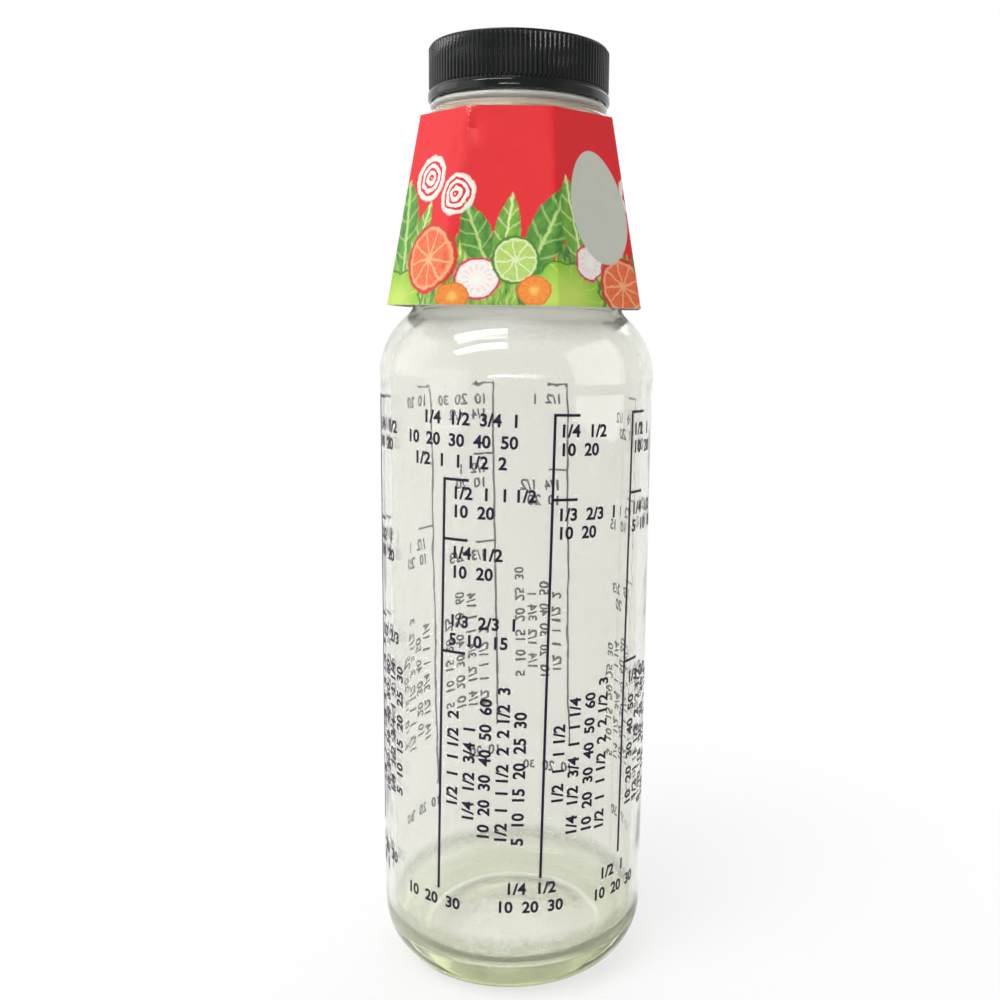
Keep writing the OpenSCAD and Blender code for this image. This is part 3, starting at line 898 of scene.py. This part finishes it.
counts = {
    "halves": "1/2 . 1 . 1 1/2 . 2 . 2 1/2 . 3 . 3 1/2 . 4 . 4 1/2 . 5",
    "quarters": "1/4 . 1/2 . 3/4 . 1 . 1 1/4 . 1 1/2 . 1 3/4 . 2 . 2 1/4",
    "tens": "10 . 20 . 30 . 40 . 50 . 60 . 70 . 80 . 90 . 100 . 110 . 120",
    "fives": "5 . 10 . 15 . 20 . 25 . 30 . 35 . 40 . 45 . 50 . 55 . 60",
    "thirds": "1/3 . 2/3 . 1 . 1 1/3 . 1 2/3 . 2 . 2 1/3 . 2 2/3 . 3",
}

# direction, height, reading up or not, millimetres long, which count
printed = {
    1: [(-39, 134, 0, 20, "quarters"), (-48, 129.5, 0, 30, "tens"), (-44, 125, 0, 27, "halves"),
        (-25.5, 118, 0, 18, "halves"), (-25.5, 114, 0, 13, "tens"), (-26, 105, 0, 15, "quarters"),
        (-26, 100.7, 0, 12, "tens"), (-27, 89.8, 0, 16, "thirds"), (-27, 85.6, 0, 17, "fives"),
        (-25.7, 47, 1, 20, "halves"), (-18.7, 44, 1, 25, "quarters"), (-12.3, 40, 1, 33, "tens"),
        (-5.2, 39.5, 1, 34, "halves"), (1.5, 39, 1, 36, "fives"), (-50, 24, 0, 19, "tens")],
    2: [(16.6, 131.5, 0, 12, "quarters"), (16.6, 127.5, 0, 10, "tens"), (16, 113.5, 0, 14, "thirds"),
        (16, 109.5, 0, 14, "tens"), (17.7, 48, 1, 19, "halves"), (24, 40, 1, 34, "quarters"),
        (31, 40, 1, 35, "tens"), (37.6, 39.6, 1, 35, "halves"), (-3.5, 28.6, 0, 14, "quarters"),
        (-7, 24.2, 0, 19, "tens")],
    3: [(55, 131, 0, 12, "halves"), (55, 127, 0, 10, "tens"), (55, 113, 0, 13, "quarters"),
        (55, 109, 0, 13, "fives"), (54.5, 73.5, 0, 12, "thirds"), (57, 42, 1, 30, "tens"),
        (63.5, 42, 1, 32, "halves"), (70, 40, 1, 33, "fives"), (76.5, 40, 1, 31, "quarters"),
        (38.5, 28.3, 0, 12, "halves"), (35, 23.5, 0, 16, "tens")],
    4: [(101, 131, 0, 12, "quarters"), (101, 127, 0, 10, "tens"), (101, 107.5, 0, 13, "halves"),
        (101, 103.5, 0, 14, "fives"), (101, 87, 0, 12, "thirds"), (101, 83, 0, 13, "tens"),
        (102, 42, 1, 30, "halves"), (108.5, 42, 1, 33, "tens"), (115, 41, 1, 31, "quarters"),
        (121.5, 41, 1, 34, "fives"), (90, 27.5, 0, 17, "tens")],
    5: [(157, 134.4, 0, 14, "halves"), (157, 111.5, 0, 13, "quarters"), (157, 107.5, 0, 13, "tens"),
        (158, 60, 1, 27, "halves"), (164.5, 58, 1, 31, "tens"), (171, 60, 1, 28, "quarters"),
        (177.5, 58, 1, 30, "fives"), (148, 33, 0, 15, "tens")],
    6: [(195, 134.4, 0, 15, "tens"), (195, 130.4, 0, 11, "quarters"), (195, 116, 0, 13, "halves"),
        (195, 112, 0, 12, "tens"), (195, 92.5, 0, 11, "thirds"), (196, 50, 1, 28, "halves"),
        (202.5, 50, 1, 31, "quarters"), (209, 50, 1, 33, "tens"), (215.5, 51, 1, 26, "fives"),
        (187, 37, 0, 14, "tens")],
    7: [(230.5, 134.3, 0, 9, "tens"), (230.5, 97.5, 0, 13, "halves"), (230.5, 93.5, 0, 12, "tens"),
        (231, 44, 1, 33, "quarters"), (237.5, 46, 1, 31, "tens"), (244, 43, 1, 33, "halves"),
        (250.5, 45, 1, 29, "fives"), (222, 26, 0, 17, "tens")],
    8: [(283, 131, 0, 12, "quarters"), (283, 127, 0, 10, "tens"), (283, 105.5, 0, 13, "halves"),
        (283, 101.5, 0, 12, "tens"), (283, 82.5, 0, 12, "thirds"), (284, 44, 1, 33, "halves"),
        (290.5, 43, 1, 35, "tens"), (297, 44, 1, 32, "quarters"), (303.5, 45, 1, 30, "fives"),
        (273, 28.5, 0, 15, "tens"), (275, 24.5, 0, 12, "halves")],
}


def fillRow(count, length, g):
    # as many of the count's numerals as the row has room for
    text = ""
    for item in counts[count].split(" . "):
        longer = text + "  " + item if text else item
        width = sum(g["narrow"] if c in " 1/" else g["wide"] for c in longer)
        if width > length + 1.5:
            break
        text = longer
    return text


def addTextAt(text, x, z, up, g):
    bpy.ops.object.text_add(location=(x / 1000, 0, z / 1000), rotation=(math.pi / 2, math.radians(g["lean"] - 90 * up), 0))
    obj = bpy.context.object
    obj.data.body = text
    obj.data.size = g["size"] / 1000
    obj.data.offset = g["bold"] * g["size"] / 1000
    obj.data.resolution_u = 3
    obj.data.extrude = (g["up"] + g["sink"]) / 2000
    obj.data.align_y = "CENTER"
    return obj


def makeNumerals(number, rows, centre):
    g = printing
    deselectAll()
    pieces = []
    for degrees, z, up, length, count in rows:
        x = math.radians(degrees - centre) * g["wallR"]
        pieces.append(addTextAt(fillRow(count, length, g), x, z, up, g))
    deselectAll()
    for piece in pieces:
        piece.select_set(True)
    bpy.context.view_layer.objects.active = pieces[0]
    bpy.ops.object.convert(target="MESH")
    bpy.ops.object.join()
    obj = bpy.context.object
    obj.name = "scaleNumerals%d" % number
    bpy.ops.object.transform_apply(location=True, rotation=True, scale=True)
    for v in obj.data.vertices:
        x = v.co.x * 1000
        a = math.radians(centre) + x / g["wallR"]
        r = g["wallR"] + (g["up"] - g["sink"]) / 2 - v.co.y * 1000
        v.co = Vector((r * math.sin(a), -r * math.cos(a), v.co.z * 1000)) / 1000
    give(obj, enamel)
    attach(obj, "bottle")
    return obj


for number, rows in printed.items():
    makeNumerals(number, rows, rows[0][0])
print("numerals made")

# Floor, world and lamps
studio = {
    "floorSize": 6.0,
    "throughGlass": [(0.0, 1.0), (0.12, 1.0), (0.45, 0.78), (1.0, 0.65)],
    "inGloss": [(0.0, 1.0), (0.10, 1.0), (0.17, 0.25), (0.85, 0.25), (0.92, 0.5), (1.0, 0.5)],
    "lamps": [
        # name, direction from the front, height angle, distance, width, height, turn, power
        ("windowLow", -38, 45, 1.3, 0.90, 0.10, 29, 5.4),
        ("windowHigh", -54, 61, 1.2, 0.70, 0.20, 48, 4.2),
        ("windowSmall", -12, 7, 1.6, 0.70, 0.10, 0, 1.4),
        ("sideWindow", -102, 20, 1.2, 0.8, 0.8, 0, 1.4),
        ("backFill", 165, 40, 1.1, 0.9, 0.7, 0, 3.0),
        ("glassGlow", 74, 14, 1.2, 1.2, 1.3, 0, 7.0),
    ],
}


def seenRays(tree):
    # what the camera sees, what is seen in glass or gloss, and what is seen in gloss alone
    path = tree.nodes.new("ShaderNodeLightPath")
    inGlass = path.outputs["Is Transmission Ray"]
    inGloss = sum2(tree, "SUBTRACT", path.outputs["Is Glossy Ray"], inGlass, clamp=True)
    return path.outputs["Is Camera Ray"], sum2(tree, "ADD", inGloss, inGlass), inGloss


def shadeAlong(tree, height, stops):
    ramp = tree.nodes.new("ShaderNodeValToRGB")
    marks = ramp.color_ramp.elements
    while len(marks) < len(stops):
        marks.new(0.5)
    for mark, (place, value) in zip(marks, stops):
        mark.position = place
        mark.color = (value, value, value * 0.97, 1)
    tree.links.new(height, ramp.inputs[0])
    return ramp.outputs[0]


def roomInGloss(tree, way):
    # dim in front and overhead, white on the left and behind, and half as bright on the right
    part = apart(tree, way)
    aside = shadeAlong(tree, sum2(tree, "MULTIPLY_ADD", part[0], 0.5, 0.5), studio["inGloss"])
    return sum2(tree, "MAXIMUM", aside, over(tree, part[1], 0.15, 0.25))


def makeStudio():
    deselectAll()
    bpy.ops.mesh.primitive_plane_add(size=studio["floorSize"])
    floor = bpy.context.object
    floor.name = "floor"
    material, tree, shader, output = newMaterial("paleFloor")
    shader.inputs["Base Color"].default_value = (0.9, 0.9, 0.9, 1)
    shader.inputs["Roughness"].default_value = 0.9
    glow = tree.nodes.new("ShaderNodeEmission")
    # beside the object the floor takes its shadow, further out it runs into the white backdrop
    away = vectorSum(tree, "LENGTH", objectPoint(tree), (0.0, 0.0, 0.0))
    reach = sum2(tree, "MULTIPLY_ADD", away, 2.2, 0.62, clamp=True)
    mix = tree.nodes.new("ShaderNodeMixShader")
    seen, through, inGloss = seenRays(tree)
    room = roomInGloss(tree, vectorSum(tree, "NORMALIZE", objectPoint(tree), (0.0, 0.0, 0.0)))
    dimmer = sum2(tree, "SUBTRACT", room, 1.0)
    tree.links.new(sum2(tree, "MULTIPLY_ADD", inGloss, dimmer, 1.0), glow.inputs["Strength"])
    tree.links.new(sum2(tree, "MAXIMUM", both(tree, seen, reach), both(tree, through, 0.96)), mix.inputs[0])
    tree.links.new(shader.outputs[0], mix.inputs[1])
    tree.links.new(glow.outputs[0], mix.inputs[2])
    tree.links.new(mix.outputs[0], output.inputs["Surface"])
    give(floor, material)
    middle = Vector((0, 0, 0.13))
    for name, side, high, far, wide, tall, turn, power in studio["lamps"]:
        a, e = math.radians(side), math.radians(high)
        way = Vector((math.sin(a) * math.cos(e), -math.cos(a) * math.cos(e), math.sin(e)))
        bpy.ops.object.light_add(type="AREA", location=middle + way * far)
        lamp = bpy.context.object
        lamp.name = name
        lamp.data.shape = "RECTANGLE"
        lamp.data.size = wide
        lamp.data.size_y = tall
        lamp.data.energy = power
        aim = (-way).to_track_quat("-Z", "Y").to_matrix() @ Matrix.Rotation(math.radians(turn), 3, "Z")
        lamp.rotation_euler = aim.to_euler()
        if name == "glassGlow":
            # only a soft shine on the right of the glass: it lights nothing and stays off the board and the cap
            lamp.visible_diffuse = False
            onlyGlass = bpy.data.collections.new("onlyGlass")
            onlyGlass.objects.link(bpy.data.objects["glassBottle"])
            lamp.light_linking.receiver_collection = onlyGlass
    world = bpy.data.worlds.new("studioWorld")
    bpy.context.scene.world = world
    world.use_nodes = True
    tree = world.node_tree
    tree.nodes.clear()
    output = tree.nodes.new("ShaderNodeOutputWorld")
    back = tree.nodes.new("ShaderNodeBackground")
    soft = tree.nodes.new("ShaderNodeBackground")
    way = tree.nodes.new("ShaderNodeTexCoord").outputs["Generated"]
    # through glass the room is white at the height of the object and darker overhead
    behind = shadeAlong(tree, apart(tree, way)[2], studio["throughGlass"])
    gloss = roomInGloss(tree, way)
    seen, through, inGloss = seenRays(tree)
    tree.links.new(mixColour(tree, inGloss, behind, gloss), back.inputs["Color"])
    soft.inputs["Color"].default_value = (1, 1, 1, 1)
    soft.inputs["Strength"].default_value = 0.5
    plain = tree.nodes.new("ShaderNodeBackground")
    plain.inputs["Color"].default_value = (1, 1, 1, 1)
    mix = tree.nodes.new("ShaderNodeMixShader")
    tree.links.new(through, mix.inputs[0])
    tree.links.new(soft.outputs[0], mix.inputs[1])
    tree.links.new(back.outputs[0], mix.inputs[2])
    last = tree.nodes.new("ShaderNodeMixShader")
    tree.links.new(seen, last.inputs[0])
    tree.links.new(mix.outputs[0], last.inputs[1])
    tree.links.new(plain.outputs[0], last.inputs[2])
    tree.links.new(last.outputs[0], output.inputs["Surface"])


makeStudio()
bpy.context.scene.view_settings.view_transform = "Standard"
print("studio ready")

for name, node in nodes.items():
    if name.startswith("scale_"):
        give(node, enamel)
